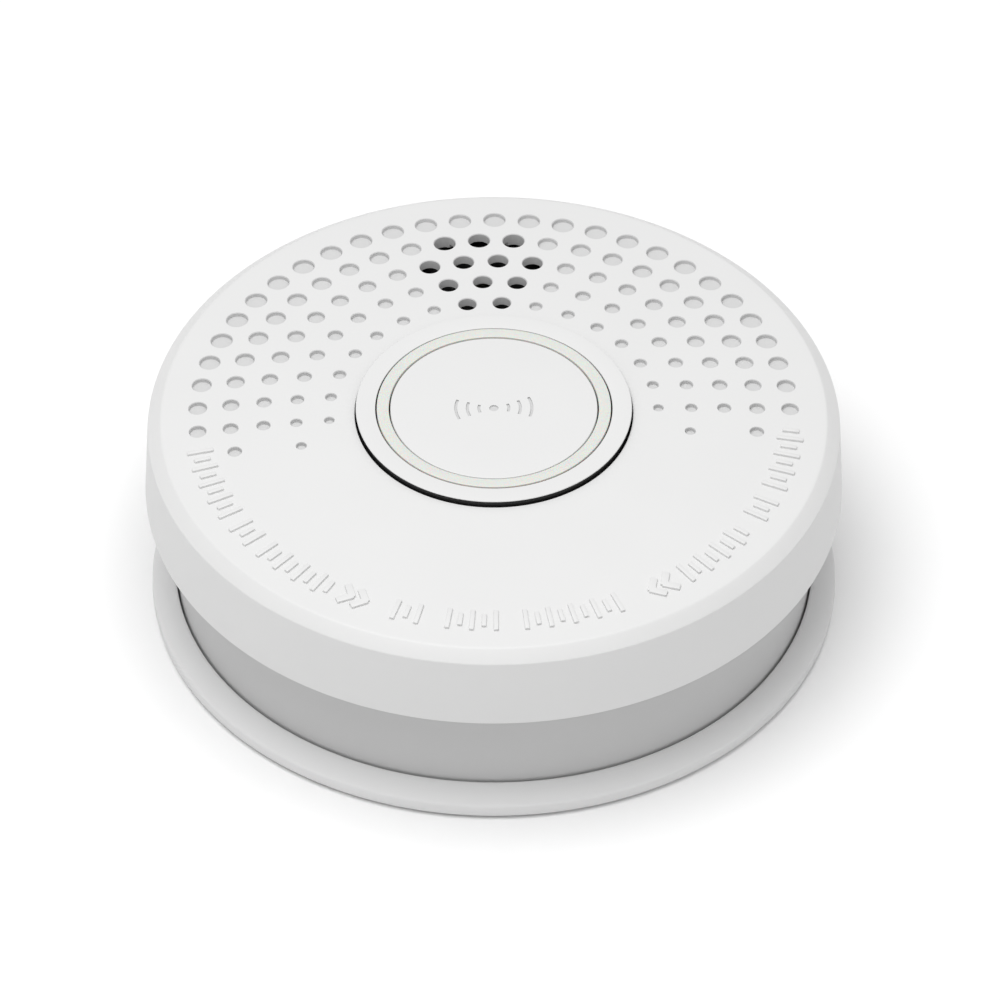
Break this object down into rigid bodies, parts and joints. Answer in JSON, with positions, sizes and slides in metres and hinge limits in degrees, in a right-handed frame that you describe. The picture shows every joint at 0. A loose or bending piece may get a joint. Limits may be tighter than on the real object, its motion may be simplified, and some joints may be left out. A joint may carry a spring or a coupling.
{
  "type": "smoke detector",
  "caption": "Round ceiling smoke alarm on its twist-lock plate, with a sprung test button, a light ring, sound holes and a swing-open battery door.",
  "frame": {"origin": "middle of the mounting plate's ceiling face", "axes": "+Z out of the front of the alarm, away from the ceiling; +Y from the test button to the sound holes"},
  "size_m": [0.1206, 0.1206, 0.0426],
  "materials": {
    "white_plastic": "fine satin moulded texture",
    "black_plastic": "moulded, satin",
    "milky_plastic": "translucent, smooth",
    "board_laminate": "solder mask",
    "spring_steel": "bright",
    "brass_sheet": "rolled sheet",
    "ceramic": "fired, silvered",
    "foam": "closed-cell foam",
    "paper_label": "printed paper",
    "copper_winding": "enamelled wire",
    "battery_jacket": "lacquered foil jacket",
    "clear_lens": "clear epoxy"
  },
  "bodies": {
    "mount": {"ceiling_plate": "white_plastic"},
    "head": {"rear_housing": "white_plastic", "front_cover": "white_plastic", "switch_body": "black_plastic", "control_chip": "black_plastic", "capacitor": "black_plastic", "chamber_base": "black_plastic", "chamber_cap": "black_plastic", "horn_base": "black_plastic", "horn_cap": "black_plastic", "return_spring": "spring_steel", "circuit_board": "board_laminate", "ring_led_1": "clear_lens", "ring_led_2": "clear_lens", "ring_led_3": "clear_lens", "boost_coil": "copper_winding", "insect_screen": "spring_steel", "infrared_emitter": "clear_lens", "infrared_receiver": "clear_lens", "piezo_disc": "brass_sheet", "piezo_ceramic": "ceramic", "horn_gasket": "foam", "battery": "battery_jacket", "battery_stud_positive": "spring_steel", "battery_stud_negative": "spring_steel", "battery_contact_positive": "brass_sheet", "battery_contact_negative": "brass_sheet", "case_screw_1": "spring_steel", "case_screw_2": "spring_steel", "case_screw_3": "spring_steel", "case_screw_4": "spring_steel"},
    "button": {"button_rim": "white_plastic", "button_cap": "white_plastic", "light_guide": "milky_plastic", "button_carrier": "black_plastic"},
    "plunger": {"switch_plunger": "black_plastic"},
    "door": {"battery_door": "white_plastic", "door_label": "paper_label"}
  },
  "joints": [
    {"name": "twist_lock", "type": "hinge", "parent": "mount", "child": "head", "pos_m": [0, 0, 0], "axis": [0, 0, 1], "range_deg": [0, 20]},
    {"name": "test_button", "type": "slide", "parent": "head", "child": "button", "axis": [0, 0, -1], "range_m": [0, 0.0006], "stiffness_N_per_m": 2000, "springref_m": -0.001, "deforming": ["return_spring"]},
    {"name": "switch_press", "type": "slide", "parent": "head", "child": "plunger", "axis": [0, 0, -1], "range_m": [0, 0.00025]},
    {"name": "door_hinge", "type": "hinge", "parent": "head", "child": "door", "pos_m": [-0.02735, 0, 0.0044], "axis": [0, 1, 0], "range_deg": [0, 90]}
  ],
  "couplings": [
    {"joint": "switch_press", "follows": "test_button", "ratio": 0.41}
  ]
}
